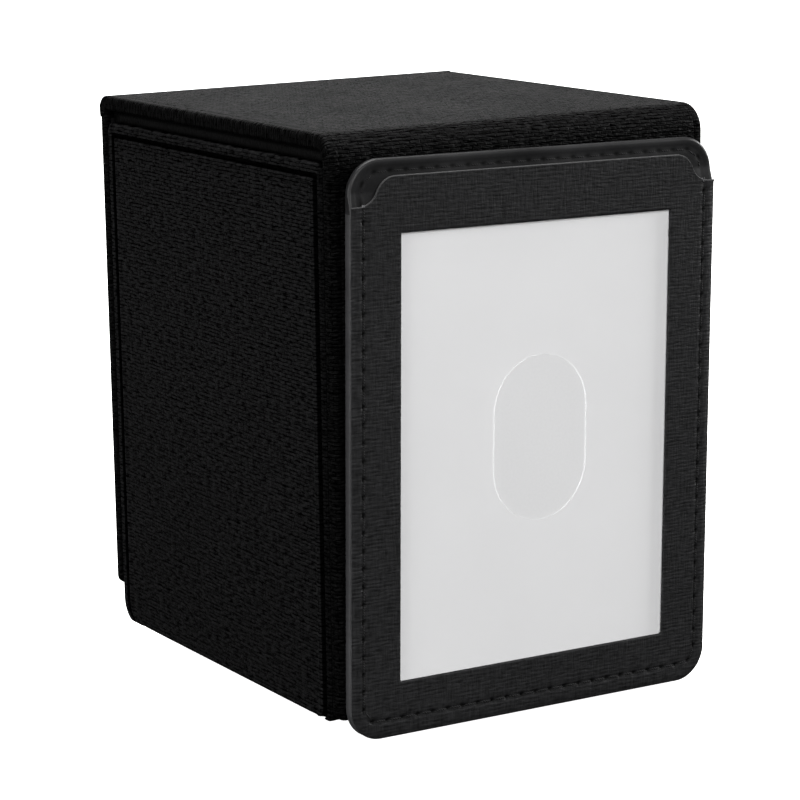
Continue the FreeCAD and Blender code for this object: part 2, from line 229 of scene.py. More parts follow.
# ---- materials --------------------------------------------------------------------------------
class Shade:
    """A material's node tree, built a node at a time."""

    def __init__(self, name):
        self.material = bpy.data.materials.new(name)
        self.material.use_nodes = True
        self.tree = self.material.node_tree
        self.bsdf = self.tree.nodes["Principled BSDF"]

    def add(self, kind, inputs=None, **settings):
        made = self.tree.nodes.new(kind)
        for key, value in settings.items():
            setattr(made, key, value)
        for key, value in (inputs or {}).items():
            if isinstance(value, bpy.types.NodeSocket):
                self.tree.links.new(value, made.inputs[key])
            else:
                made.inputs[key].default_value = value
        return made

    def shader(self, **values):
        for key, value in values.items():
            socket = self.bsdf.inputs[key.replace("_", " ")]
            if isinstance(value, bpy.types.NodeSocket):
                self.tree.links.new(value, socket)
            else:
                socket.default_value = value

    def surface_mm(self):
        """The piece's own UV map, in millimetres."""
        uv = self.add("ShaderNodeUVMap", uv_map="surface")
        return self.add("ShaderNodeMapping",
                        {"Vector": uv.outputs[0], "Scale": (1000, 1000, 1000)}).outputs[0]

    def object_mm(self):
        where = self.add("ShaderNodeTexCoord")
        return self.add("ShaderNodeMapping",
                        {"Vector": where.outputs["Object"], "Scale": (1000, 1000, 1000)}).outputs[0]

    def stretch(self, vector, scale):
        return self.add("ShaderNodeMapping", {"Vector": vector, "Scale": scale}).outputs[0]

    def noise(self, vector, scale, detail=2.0, roughness=0.5):
        return self.add("ShaderNodeTexNoise", {"Vector": vector, "Scale": scale, "Detail": detail,
                                               "Roughness": roughness}).outputs["Fac"]

    def math(self, operation, a, b=0.0, c=0.0):
        return self.add("ShaderNodeMath", {0: a, 1: b, 2: c}, operation=operation).outputs[0]

    def ramp(self, value, low, high, to_low=0.0, to_high=1.0):
        return self.add("ShaderNodeMapRange", {"Value": value, "From Min": low, "From Max": high,
                                               "To Min": to_low, "To Max": to_high}).outputs["Result"]

    def blend(self, factor, a, b):
        mixed = self.add("ShaderNodeMix", data_type="RGBA")
        for index, value in ((0, factor), (6, a), (7, b)):
            if isinstance(value, bpy.types.NodeSocket):
                self.tree.links.new(value, mixed.inputs[index])
            else:
                mixed.inputs[index].default_value = value
        return mixed.outputs[2]

    def bump(self, height, distance_mm, strength=1.0):
        return self.add("ShaderNodeBump", {"Height": height, "Distance": distance_mm * MM,
                                           "Strength": strength}).outputs[0]

    def painted_shade(self):
        """The mask of painted shade: high in stitch holes and grooves, and on a side panel's front border."""
        return self.add("ShaderNodeAttribute", attribute_name="painted_shade").outputs["Fac"]


def grey(value, tint=1.04):
    return (value, value, value * tint, 1.0)


def cross_grain_height(s, mm):
    """Embossed cross grain: staggered short ridges, a little irregular."""
    wander = s.add("ShaderNodeTexNoise", {"Vector": mm, "Scale": 0.55, "Detail": 2.0})
    moved = s.add("ShaderNodeVectorMath", {0: wander.outputs["Color"], 1: (0.8, 0.5, 0.5)},
                  operation="MULTIPLY").outputs[0]
    place_mm = s.add("ShaderNodeVectorMath", {0: mm, 1: moved}, operation="ADD").outputs[0]
    ridges = s.add("ShaderNodeTexBrick", {"Vector": place_mm, "Scale": 1.0, "Mortar Size": 0.13,
                                          "Mortar Smooth": 1.0, "Brick Width": 2.3, "Row Height": 0.68})
    tops = s.math("SUBTRACT", 1.0, ridges.outputs["Fac"])
    dashes = s.noise(s.stretch(mm, (0.55, 1.6, 1.0)), 1.0, 2.0, 0.6)
    return s.math("MULTIPLY_ADD", dashes, 1.5, s.math("MULTIPLY", tops, 0.4))


def grained_leather(name, tone, specular, grain_mm):
    """Cross-grained leather that is darker and duller between the ridges, with painted shade, black and
    without highlights, in the grooves and along the side panels' front border.
    """
    s = Shade(name)
    mm = s.surface_mm()
    height = cross_grain_height(s, mm)
    broad = s.noise(mm, 0.06, 3.0)
    lift = s.ramp(height, 0.8, 1.35, 0.0, 2.0)
    shade = s.math("MULTIPLY", lift, s.ramp(broad, 0.3, 0.7, 0.85, 1.15))
    colour = s.blend(s.math("MULTIPLY", shade, 0.5), grey(0.0), grey(2 * tone))
    painted_shade = s.painted_shade()
    # painted shade: black, and no highlights, where the mask of painted shade is high
    colour = s.blend(painted_shade, colour, grey(0.0))
    open_to_light = s.ramp(painted_shade, 0.0, 1.0, specular, 0.0)
    rough_map = s.ramp(s.math("ADD", height, broad), 1.0, 2.0, 0.47, 0.63)
    s.shader(Base_Color=colour, Roughness=rough_map, Normal=s.bump(height, grain_mm, 0.9),
             Specular_IOR_Level=s.math("MULTIPLY", lift, open_to_light))
    return s.material


def linen_leather(name, tone, specular):
    """Cross-hatched leather: wavy threads across, fainter ones up and down."""
    s = Shade(name)
    mm = s.surface_mm()
    threads = s.add("ShaderNodeTexWave", {"Vector": mm, "Scale": 0.43, "Distortion": 3.0, "Detail": 3.0,
                                          "Detail Scale": 0.9}, bands_direction="Y").outputs["Fac"]
    across = s.noise(s.stretch(mm, (0.45, 2.0, 1.0)), 1.0, 3.0, 0.6)
    along = s.noise(s.stretch(mm, (2.1, 0.30, 1.0)), 1.0, 3.0, 0.6)
    height = s.math("MULTIPLY_ADD", threads, 0.13, s.math("ADD", across, s.math("MULTIPLY", along, 0.7)))
    broad = s.noise(mm, 0.05, 2.0)
    lift = s.ramp(height, 0.66, 1.16, 0.3, 1.7)
    shade = s.math("MULTIPLY", lift, s.ramp(broad, 0.3, 0.7, 0.92, 1.08))
    colour = s.blend(s.math("MULTIPLY", shade, 0.5), grey(0.0), grey(2 * tone))
    # painted shade in the stitch holes
    dark = s.blend(s.painted_shade(), colour, grey(0.0015))
    s.shader(Base_Color=dark, Roughness=s.ramp(height, 0.7, 1.1, 0.58, 0.44),
             Normal=s.bump(height, 0.16, 0.9), Specular_IOR_Level=specular)
    return s.material


def smooth_leather(name, tone, sheen, specular):
    """Leather with fine pores and no embossing."""
    s = Shade(name)
    mm = s.surface_mm()
    pores = s.noise(mm, 2.4, 4.0, 0.6)
    broad = s.noise(mm, 0.08, 3.0)
    shade = s.ramp(s.math("ADD", pores, broad), 0.7, 1.3, 0.35, 0.65)
    colour = s.blend(shade, grey(0.0), grey(2 * tone))
    # painted shade in the stitch holes
    dark = s.blend(s.painted_shade(), colour, grey(0.0015))
    s.shader(Base_Color=dark, Roughness=s.ramp(broad, 0.3, 0.7, 0.37, 0.49),
             Normal=s.bump(pores, 0.03, 0.6), Sheen_Weight=sheen, Sheen_Roughness=0.35,
             Specular_IOR_Level=specular)
    return s.material


def cut_edge(name):
    """The slightly fibrous cut edge of the pocket's mouth."""
    s = Shade(name)
    mm = s.surface_mm()
    fibres = s.noise(s.stretch(mm, (6.0, 2.0, 1.0)), 1.0, 3.0, 0.7)
    colour = s.blend(s.ramp(fibres, 0.3, 0.7), grey(0.002), grey(0.008))
    s.shader(Base_Color=colour, Roughness=0.75, Normal=s.bump(fibres, 0.08), Sheen_Weight=0.06)
    return s.material


def thread(name):
    s = Shade(name)
    mm = s.object_mm()
    strands = s.add("ShaderNodeTexWave", {"Vector": mm, "Scale": 1.3, "Distortion": 0.6, "Detail": 1.0},
                    bands_direction="DIAGONAL").outputs["Fac"]
    colour = s.blend(strands, grey(0.003), grey(0.008))
    s.shader(Base_Color=colour, Roughness=0.75, Normal=s.bump(strands, 0.05), Sheen_Weight=0.02,
             Specular_IOR_Level=0.15)
    return s.material


def frayed_fibre(name):
    s = Shade(name)
    mm = s.object_mm()
    fibre = s.noise(mm, 5.0, 3.0)
    s.shader(Base_Color=s.blend(fibre, grey(0.06), grey(0.20)), Roughness=0.8, Sheen_Weight=0.1,
             Normal=s.bump(fibre, 0.03))
    return s.material


def pebbled_leather(name, tone):
    """Leather for pieces with no UV map: fine even pebbling in all directions."""
    s = Shade(name)
    mm = s.object_mm()
    cells = s.add("ShaderNodeTexVoronoi", {"Vector": mm, "Scale": 1.6, "Randomness": 0.8})
    broad = s.noise(mm, 0.1, 3.0)
    height = s.ramp(cells.outputs["Distance"], 0.0, 0.7)
    colour = s.blend(s.ramp(broad, 0.3, 0.7), grey(tone * 0.7), grey(tone * 1.3))
    s.shader(Base_Color=colour, Roughness=s.ramp(height, 0.0, 1.0, 0.68, 0.54),
             Normal=s.bump(height, 0.06, 0.8), Specular_IOR_Level=0.04)
    return s.material


def microfibre(name):
    s = Shade(name)
    mm = s.object_mm()
    nap = s.noise(mm, 3.5, 4.0, 0.7)
    brushed = s.noise(mm, 0.12, 3.0)
    colour = s.blend(s.ramp(s.math("ADD", nap, brushed), 0.7, 1.3), grey(0.012), grey(0.034))
    s.shader(Base_Color=colour, Roughness=0.95, Normal=s.bump(nap, 0.12), Sheen_Weight=0.5,
             Sheen_Roughness=0.5, Specular_IOR_Level=0.15)
    return s.material


def paperboard(name):
    s = Shade(name)
    mm = s.object_mm()
    fibre = s.noise(mm, 1.6, 5.0, 0.7)
    colour = s.blend(s.ramp(fibre, 0.3, 0.7), grey(0.003), grey(0.007))
    s.shader(Base_Color=colour, Roughness=0.9, Normal=s.bump(fibre, 0.05), Specular_IOR_Level=0.05)
    return s.material


def plated_metal(name):
    s = Shade(name)
    mm = s.object_mm()
    scuff = s.noise(mm, 1.2, 5.0, 0.6)
    colour = s.blend(scuff, (0.52, 0.52, 0.54, 1), (0.72, 0.72, 0.74, 1))
    s.shader(Base_Color=colour, Metallic=1.0, Roughness=s.ramp(scuff, 0.3, 0.7, 0.18, 0.34),
             Normal=s.bump(scuff, 0.01))
    return s.material


def card_stock(name):
    s = Shade(name)
    mm = s.surface_mm()
    fibre = s.noise(mm, 2.0, 4.0, 0.6)
    broad = s.noise(mm, 0.03, 2.0)
    colour = s.blend(s.ramp(s.math("ADD", fibre, broad), 0.7, 1.3), (0.632, 0.632, 0.637, 1),
                     (0.668, 0.668, 0.673, 1))
    s.shader(Base_Color=colour, Roughness=0.55, Normal=s.bump(fibre, 0.01))
    return s.material


def clear_film(name, alpha):
    s = Shade(name)
    mm = s.surface_mm()
    ripple = s.noise(mm, 0.05, 2.0)
    smear = s.noise(mm, 0.4, 4.0, 0.6)
    s.shader(Base_Color=s.blend(smear, (0.80, 0.80, 0.81, 1), (0.88, 0.88, 0.89, 1)),
             Roughness=s.ramp(smear, 0.3, 0.7, 0.08, 0.16), Normal=s.bump(ripple, 0.2, 0.4),
             Alpha=alpha, Specular_IOR_Level=0.5)
    return s.material


def backdrop(name):
    s = Shade(name)
    mm = s.object_mm()
    tone = s.noise(mm, 0.002, 2.0)
    colour = s.blend(tone, (0.90, 0.90, 0.90, 1), (0.93, 0.93, 0.93, 1))
    s.shader(Base_Color=colour, Roughness=0.9, Specular_IOR_Level=0.1,
             Emission_Color=(1, 1, 1, 1), Emission_Strength=1.0)
    return s.material


# wrap_leather is the side panels' black leather in a far darker tone: its extra darkness is painted shade on
# the lid's front, rims and cover.
WRAP = grained_leather("wrap_leather", 0.0003, 0.028, 0.5)
PANEL = grained_leather("side_panel_leather", 0.0034, 0.035, 0.3)
WALLS = pebbled_leather("tray_wall_leather", 0.0006)
LINEN = linen_leather("pocket_front_leather", 0.0122, 0.10)
SMOOTH = smooth_leather("pocket_back_leather", 0.0108, 0.02, 0.20)
# Edge paint on the pocket's sides, made far lighter than the pocket's leather as a painted highlight.
EDGE = smooth_leather("edge_paint_and_highlight", 0.050, 0.0, 0.3)
CUT = cut_edge("cut_edge_leather")
THREAD = thread("black_thread")
FRAYED = frayed_fibre("frayed_thread")
LINING = microfibre("lining_microfibre")
BOARD = paperboard("black_faced_board")
METAL = plated_metal("magnet_nickel")
CARD = card_stock("blank_card_stock")
FILM = clear_film("clear_film", 0.03)
# A pale, nearly opaque ring on the thumb slot's rim: a painted highlight.
FILM_EDGE_HIGHLIGHT = clear_film("clear_film_edge_highlight", 0.6)


# ---- wrapped boards: lid, back cover, hinge -------------------------------------------------------
def section(thick, hollow):
    """Section of a wrapped board as (x, depth, hollow) points, outer face first."""
    half, r, ri = HALF_W, RIM_R, RIM_INNER_R
    crease = half - CREASE_INSET
    ramp = (-CREASE_HALF, 0.0, CREASE_HALF)
    field = crease - 0.6 * MM
    across = [-half + r] + [-crease + v for v in ramp] + list(np.linspace(-field, field, 25))
    across += [crease + v for v in ramp] + [half - r]
    face = [(x, CREASE_D if abs(abs(x) - crease) < 1e-6 else 0.0, 0) for x in across]
    right = [(half - r + r * math.sin(a), r - r * math.cos(a), 0) for a in arc(6)[1:]]
    right.append((half, (r + thick - ri) / 2, 0))
    right += [(half - ri + ri * math.cos(a), thick - ri + ri * math.sin(a), 0) for a in arc(4)]
    lip = half - TURN_IN
    right += [(lip + 0.05 * MM, thick, 0), (lip, thick, hollow)]
    return face + right + [(0.0, thick, hollow)] + [(-x, d, deep) for x, d, deep in reversed(right)]


def stations(length, extra):
    """Places along a wrapped board: close together at its ends and where extra asks."""
    ends = [RIM_R * (1 - math.cos(a)) for a in arc(6)]
    ends += [TURN_IN + 0.02 * MM, TURN_IN + 0.07 * MM]
    ends += [CREASE_INSET - CREASE_HALF, CREASE_INSET, CREASE_INSET + CREASE_HALF]
    middle = np.linspace(CREASE_INSET + 1.0 * MM, length - CREASE_INSET - 1.0 * MM, 24)
    values = ends + [length - e for e in ends] + list(middle) + list(extra)
    return sorted(set(round(v, 7) for v in values))


def wrapped_board(name, path, length, thick, hollow, extra=()):
    """Sweeps the board's section along path(s), which gives a point and its outward normal. The far
    end is rounded like the sides. The near end is square, because the hinge joins it."""
    shape = section(thick, hollow)
    rows = []
    steps = stations(length, extra)
    for s in steps:
        near = min(s, length - s)
        far_end = s > length / 2
        outer = corner_pull(near, RIM_R) if far_end else 0.0
        inner = corner_pull(near, RIM_INNER_R)
        pull = corner_pull(near, PLAN_R) if far_end else 0.0
        across = CREASE_D if far_end and abs(near - CREASE_INSET) < 1e-6 else 0.0
        point, normal = path(s)
        row = []
        for x, d, deep in shape:
            sunk = deep if near > TURN_IN + 0.04 * MM else 0.0
            if d < 0.3 * RIM_R and abs(x) < HALF_W - CREASE_INSET:
                d = max(d, across)
            depth = outer + d * (thick - outer - inner) / thick - sunk
            row.append(Vector((x * (HALF_W - pull) / HALF_W, 0, 0)) + point - normal * depth)
        rows.append(row)
    return swept(name, rows, [(x, d) for x, d, _ in shape], steps, WRAP)


LID_TOP_RUN = lid_high.y - (lid_low.y + LID_CORNER_R)
LID_TURN_RUN = LID_CORNER_R * QUARTER
LID_FRONT_RUN = lid_high.z - LID_CORNER_R - lid_low.z


def lid_path(s):
    """Outer face of the lid: along the top from rear to front, round the corner, down the front."""
    if s <= LID_TOP_RUN:
        return Vector((MIDDLE_X, lid_high.y - s, lid_high.z)), Vector((0, 0, 1))
    if s <= LID_TOP_RUN + LID_TURN_RUN:
        a = (s - LID_TOP_RUN) / LID_CORNER_R
        normal = Vector((0, -math.sin(a), math.cos(a)))
        centre = Vector((MIDDLE_X, lid_low.y + LID_CORNER_R, lid_high.z - LID_CORNER_R))
        return centre + normal * LID_CORNER_R, normal
    down = s - LID_TOP_RUN - LID_TURN_RUN
    return Vector((MIDDLE_X, lid_low.y, lid_high.z - LID_CORNER_R - down)), Vector((0, -1, 0))


def cover_path(s):
    """Outer face of the back cover, from its top down."""
    return Vector((MIDDLE_X, cover_high.y, cover_high.z - s)), Vector((0, 1, 0))


def lid_wrap():
    corner = [LID_TOP_RUN + LID_TURN_RUN * i / 12 for i in range(13)]
    obj = wrapped_board("lid_wrap", lid_path, LID_TOP_RUN + LID_TURN_RUN + LID_FRONT_RUN, PANEL_T,
                        LID_HOLLOW, corner)
    return place(obj, "lid", "grained_leather", "lid_cover")


def back_wrap():
    obj = wrapped_board("back_wrap", cover_path, cover_high.z - cover_low.z,
                        cover_high.y - cover_low.y, COVER_HOLLOW)
    return place(obj, "tray", "grained_leather", "back_cover")


lid_wrap()
back_wrap()


def hinge_wrap():
    """The fold of leather at the rear top corner, a little proud of the panels it joins."""
    radius = lid_high.z - cover_high.z - 0.6 * MM
    centre = Vector((MIDDLE_X, strip_high.y - radius, strip_high.z - radius))
    spine = [(Vector((MIDDLE_X, strip_high.y, cover_high.z - 1.0 * MM)), Vector((0, 1, 0)))]
    for a in arc(14):
        normal = Vector((0, math.cos(a), math.sin(a)))
        swell = HINGE_SWELL * math.exp(-((a - 0.1) / 0.35) ** 2)
        spine.append((centre + normal * (radius + swell), normal))
    spine.append((Vector((MIDDLE_X, strip_low.y - 0.2 * MM, strip_high.z)), Vector((0, 0, 1))))
    half, r = HALF_W - 0.03 * MM, HINGE_EDGE_R
    corner = [(half - r + r * math.sin(a), r * (1 - math.cos(a))) for a in arc(4)[1:]]
    outline = [(x, 0.0) for x in np.linspace(-half + r, half - r, 30)] + corner
    outline += [(half, HINGE_T), (half - TURN_IN, HINGE_T), (-half + TURN_IN, HINGE_T), (-half, HINGE_T)]
    outline += [(-x, d) for x, d in reversed(corner)]
    rows, vs = [], []
    for i, (point, normal) in enumerate(spine):
        vs.append(vs[-1] + (point - spine[i - 1][0]).length if vs else 0.0)
        rows.append([point + Vector((x, 0, 0)) - normal * d for x, d in outline])
    obj = swept("hinge_fold", rows, outline, vs, WRAP)
    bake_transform(obj)
    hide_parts("hinge_strip")


hinge_wrap()


# ---- side panels ------------------------------------------------------------------------------
def border_height(d, groove_w):
    """Height of the rolled border and the field, a distance d in from the panel's edge."""
    if d < BEAD_W:
        across = (d / BEAD_W - 0.5) * 2
        return BEAD_H * (1 - across ** 4)
    d -= BEAD_W
    if d < groove_w:
        return -GROOVE_D * math.sin(math.pi * d / groove_w) ** 0.7 + 0.02 * MM * d / groove_w
    d -= groove_w
    lip = BEAD_H * smooth_step(d / (0.4 * MM)) * math.exp(-((d - 0.4 * MM) / (0.7 * MM)) ** 2)
    return 0.02 * MM + lip - 0.08 * MM * math.exp(-((d - 1.9 * MM) / (0.7 * MM)) ** 2)


def border_steps():
    """Distances in from a panel's edge that follow its border, groove and field."""
    edge = [0.0, 0.03, 0.12, 0.28, 0.5, 0.8, 1.1, 1.4, 1.65, 1.8, 1.9]
    groove = [1.96, 2.05, 2.15, 2.3, 2.45, 2.6, 2.72, 2.8, 2.9, 3.0, 3.15, 3.3, 3.42, 3.5]
    field = [3.6, 3.75, 3.9, 4.1, 4.4, 4.8, 5.2, 5.7, 6.3, 7.5]
    return [v * MM for v in edge + groove + field]


def side_panel(name, low, high, side, node):
    """Covered panel; side is -1 for the left and +1 for the right."""
    face_x, wall_x = (low.x, high.x) if side < 0 else (high.x, low.x)
    limit = MIDDLE_X + side * (HALF_W - 0.12 * MM)
    steps = border_steps()
    bottoms = [v * MM for v in (0.0, 0.03, 0.12, 0.28, 0.5, 0.8, 1.4, 2.2, 3.2, 4.5)]
    rows_z = [low.z + v for v in bottoms]
    rows_z += list(np.linspace(low.z + 7 * MM, high.z - 9 * MM, 26))
    rows_z += [high.z - v for v in reversed(steps)]
    points, painted_shades = [], []
    for z in rows_z:
        front = low.y + corner_pull(z - low.z, 2.0 * MM) + corner_pull(high.z - z, 2.2 * MM)
        rear = high.y - corner_pull(z - low.z, 4.5 * MM) - corner_pull(high.z - z, 2.0 * MM)
        ys = [front + v for v in steps] + list(np.linspace(front + 9 * MM, rear - 9 * MM, 20))
        ys += [rear - v for v in reversed(steps)]
        row = []
        for y in ys:
            edge = min(y - front, rear - y, z - low.z, high.z - z)
            inset, groove_w = min((y - front, FRONT_GROOVE_W), (rear - y, GROOVE_W), (high.z - z, GROOVE_W))
            x = face_x + side * (border_height(inset, groove_w) - corner_pull(edge, 0.6 * MM))
            row.append((side * min(side * x, side * limit), y, z))
            front_border_shade = 0.5 if groove_w == FRONT_GROOVE_W else 0.0    # painted shade on the front border
            # painted shade in the groove
            in_groove = BEAD_W - 0.1 * MM < inset < BEAD_W + groove_w
            painted_shades.append(0.9 if in_groove else front_border_shade * (inset <= BEAD_W))
        row.append((wall_x, ys[-1], z))
        row.append((wall_x, ys[0], z))
        points += row
        # the points against the wall get full painted shade
        painted_shades += [1.0, 1.0]
    columns = len(points) // len(rows_z)
    faces = ring_faces(len(rows_z), columns) + end_caps(len(rows_z), columns)
    obj = make_object(name, points, faces, planar_uv(points, faces, 1, 2), [PANEL], sharp=50,
                      masks={"painted_shade": painted_shades})
    return place(obj, "tray", "grained_leather", node)


side_panel("side_panel_left", left_low, left_high, -1, "left_side_panel")
side_panel("side_panel_right", right_low, right_high, 1, "right_side_panel")


# ---- outlines for flat sewn pieces ----------------------------------------------------------------
def rounded_outline(x0, x1, z0, z1, radius, counts, inset=0.0):
    """Closed outline, anticlockwise from the bottom left; counts = (bottom, right, top, left, corner).
    The radius is one number, or one for each corner."""
    bottom, right, top, left, corner = counts
    radii = radius if isinstance(radius, tuple) else (radius,) * 4
    r = [max(v - inset, 0.02 * MM) for v in radii]
    x0, x1, z0, z1 = x0 + inset, x1 - inset, z0 + inset, z1 - inset
    centres = [(x0 + r[0], z0 + r[0]), (x1 - r[1], z0 + r[1]), (x1 - r[2], z1 - r[2]), (x0 + r[3], z1 - r[3])]
    starts = [math.pi, 1.5 * math.pi, 0.0, 0.5 * math.pi]
    sides = [bottom, right, top, left]
    points = []
    for i in range(4):
        (cx, cz), a0 = centres[i], starts[i]
        for k in range(corner + 1):
            a = a0 + QUARTER * k / corner
            points.append((cx + r[i] * math.cos(a), cz + r[i] * math.sin(a)))
        (nx, nz), b0 = centres[(i + 1) % 4], starts[(i + 1) % 4]
        begin = points[-1]
        end = (nx + r[(i + 1) % 4] * math.cos(b0), nz + r[(i + 1) % 4] * math.sin(b0))
        for k in range(1, sides[i]):
            t = k / sides[i]
            points.append((begin[0] + (end[0] - begin[0]) * t, begin[1] + (end[1] - begin[1]) * t))
    return points


# ---- the seam that sews the pocket ----------------------------------------------------------------
SEAM_X = POCKET_X - SEAM_INSET
SEAM_Z0 = POCKET_Z0 + SEAM_BOTTOM_INSET
SEAM_Z1 = POCKET_Z1 - SEAM_TOP_INSET


def seam_points(count=6000):
    """The closed seam as evenly spaced points with their directions."""
    radii = (2.6 * MM, 2.6 * MM, 3.8 * MM, 3.8 * MM)
    raw = np.array(rounded_outline(-SEAM_X, SEAM_X, SEAM_Z0, SEAM_Z1, radii, (400, 500, 400, 500, 40)))
    steps = np.linalg.norm(np.roll(raw, -1, 0) - raw, axis=1)
    along = np.concatenate([[0], np.cumsum(steps)])
    closed = np.vstack([raw, raw[:1]])
    where = np.linspace(0, along[-1], count, endpoint=False)
    path = np.stack([np.interp(where, along, closed[:, i]) for i in (0, 1)], 1)
    heading = np.roll(path, -1, 0) - np.roll(path, 1, 0)
    heading /= np.linalg.norm(heading, axis=1)[:, None]
    return path, heading, along[-1]


SEAM, SEAM_HEADING, SEAM_LENGTH = seam_points()
STITCHES = round(SEAM_LENGTH / STITCH_PITCH)
hole_index = (np.arange(STITCHES) * len(SEAM) / STITCHES).astype(int)
HOLES, HOLE_HEADING = SEAM[hole_index], SEAM_HEADING[hole_index]
MOUTH_SEAM_Z = POCKET_Z1 - MOUTH_SIDE_DROP


def seam_marks(x, z, groove, hole_depth):
    """Depth of the sewn groove and its holes at a point, and how much of a hole it is in, which sets the
    painted shade in the hole.
    """
    p = np.array((x, z))
    if abs(x) <= SEAM_X - 9 * MM and SEAM_Z0 + 4 * MM <= z <= SEAM_Z1 - 4 * MM:
        return 0.0, 0.0
    if np.min(np.abs(SEAM - p).sum(1)) > 3 * MM:
        return 0.0, 0.0
    distance = np.min(np.linalg.norm(SEAM - p, axis=1))
    depth = groove * math.exp(-(distance / (0.6 * MM)) ** 2)
    to_hole = p - HOLES
    along = (to_hole * HOLE_HEADING).sum(1)
    across = to_hole[:, 0] * HOLE_HEADING[:, 1] - to_hole[:, 1] * HOLE_HEADING[:, 0]
    fall = np.exp(-(along / (0.60 * MM)) ** 2 - (across / (0.38 * MM)) ** 2).max()
    return depth + hole_depth * fall, float(min(1.0, fall * 1.5))


# ---- pocket, back layer -----------------------------------------------------------------------
def back_layer_rise(x, z):
    """How far the padded seam margin, under the front layer, stands in front of the card's rest.
    It fades out above the mouth, where nothing is sewn over it."""
    side = smooth_step((abs(x) - (POCKET_X - WELT_W + 0.2 * MM)) / (2.2 * MM))
    side *= smooth_step((MOUTH_SEAM_Z + 2.6 * MM - z) / (2.4 * MM))
    foot = smooth_step((POCKET_Z0 + WELT_W - 0.1 * MM - z) / (0.9 * MM))
    return (BACK_LAYER_Y - WELT_Y + 0.05 * MM) * max(side, foot)


def pocket_back_layer():
    counts = (60, 60, 210, 60, 26)
    # Each row: its inset, how far it is sunk in the face (None off the face), how far it stands ahead
    # of the lid, and its angle round the rolled edge.
    rows = [(0.3 * MM, None, 0.0, None), (0.0, None, 0.2 * MM, None)]
    rows += [(0.0, 0.0, 0.0, a) for a in arc(7)]
    for inset in list(np.arange(0.75, 5.6, 0.25)) + [5.9, 6.2, 6.4, 6.6, 6.9, 7.4, 8.5]:
        rows.append((inset * MM, 0.12 * MM * smooth_step((inset - 1.1) / 0.35), 0.0, None))
    points, painted_shades = [], []
    for inset, sunk, ahead, turn in rows:
        outline = rounded_outline(-POCKET_X, POCKET_X, POCKET_Z0, POCKET_Z1, POCKET_R, counts, inset)
        if turn is not None:
            rolled = rounded_outline(-POCKET_X, POCKET_X, POCKET_Z0, POCKET_Z1, POCKET_R, counts,
                                     BACK_ROLL * (1 - math.cos(turn)))
        for i, (x, z) in enumerate(outline):
            depth, painted_shade = 0.0, 0.0
            # along the top: sewn groove and holes, and painted shade in the holes
            if sunk is not None and 1.0 * MM < inset < 5.5 * MM and z > MOUTH_SEAM_Z - 4 * MM:
                depth, painted_shade = seam_marks(x, z, 0.03 * MM, 0.10 * MM)
            y = lid_low.y - ahead
            if turn is not None:
                free = smooth_step((z - MOUTH_SEAM_Z + 1 * MM) / (2 * MM))
                part = free + (1 - free) * BACK_ROLL_SEWN / BACK_ROLL
                x, z = x + (rolled[i][0] - x) * part, z + (rolled[i][1] - z) * part
                y = BACK_LAYER_Y - back_layer_rise(x, z) + BACK_ROLL * part * (1 - math.sin(turn))
            elif sunk is not None:
                y = BACK_LAYER_Y - back_layer_rise(x, z) + sunk + depth
            points.append((x, y, z))
            painted_shades.append(painted_shade)
    columns = len(points) // len(rows)
    faces = ring_faces(len(rows), columns) + end_caps(len(rows), columns)
    free = [points[i][2] > MOUTH_SEAM_Z for i in range(columns)]    # the edge paint and its painted highlight stop at the mouth
    slots = [1 if 1 <= index // columns <= 5 and not free[index % columns] else 0
             for index in range(len(faces))]
    obj = make_object("pocket_back_layer", points, faces, planar_uv(points, faces, 0, 2), [SMOOTH, EDGE],
                      slots, sharp=60, masks={"painted_shade": painted_shades})
    return place(hang(obj), "lid", "smooth_leather", "pocket_back", "pocket_welt")


pocket_back_layer()


# ---- pocket, front layer ----------------------------------------------------------------------
SIDE_STEPS = 255
CORNER_STEPS = 26
BOTTOM_STEPS = 194


def mouth_z(x):
    """Height of the pocket's mouth at x: level in the middle, an S down to each side seam."""
    u = (abs(x) - (POCKET_X - MOUTH_FLAT - MOUTH_RUN)) / MOUTH_RUN
    run, rise = MOUTH_RUN / 2, (MOUTH_SIDE_DROP - MOUTH_DROP) / 2
    turn = 2 * math.atan2(rise, run)
    radius = run / math.sin(turn)
    top, side = POCKET_Z1 - MOUTH_DROP, POCKET_Z1 - MOUTH_SIDE_DROP
    if u <= 0:
        return top
    if u >= 1:
        return side
    s = u * MOUTH_RUN
    if s <= run:
        return top - radius + math.sqrt(radius ** 2 - s ** 2)
    return side + radius - math.sqrt(radius ** 2 - (MOUTH_RUN - s) ** 2)


def mouth_line(inset):
    """The mouth's edge from left to right, with its points closer together towards its ends."""
    reach = POCKET_X - (MOUTH_FLAT + MOUTH_RUN)
    outer = [v * MM for v in list(np.arange(0, 5, 0.25)) + list(np.arange(5, 9.0, 0.5))]
    outer = [v * (1 - inset / (POCKET_X - reach)) for v in outer]
    xs = [-POCKET_X + inset + v for v in outer] + list(np.linspace(-reach, reach, 32))
    xs += [POCKET_X - inset - v for v in reversed(outer)]
    return [(x, mouth_z(x) - inset) for x in xs]


def below_mouth(half, r, top, foot):
    """Down the right side from just under the top, along the foot, and up the left side."""
    low = foot + r
    right = [(half, top + (low - top) * k / SIDE_STEPS) for k in range(1, SIDE_STEPS)]
    right += [(half - r + r * math.cos(a), low - r * math.sin(a)) for a in arc(CORNER_STEPS)]
    bottom = [(x, foot) for x in np.linspace(half - r, r - half, BOTTOM_STEPS + 1)[1:-1]]
    return right + bottom + [(-x, z) for x, z in reversed(right)]


def front_outline(inset):
    """Outline of the front layer, inset all round."""
    mouth = mouth_line(inset)
    r = max(POCKET_R - inset, 0.05 * MM)
    return mouth + below_mouth(POCKET_X - inset, r, mouth[0][1], POCKET_Z0 + inset)


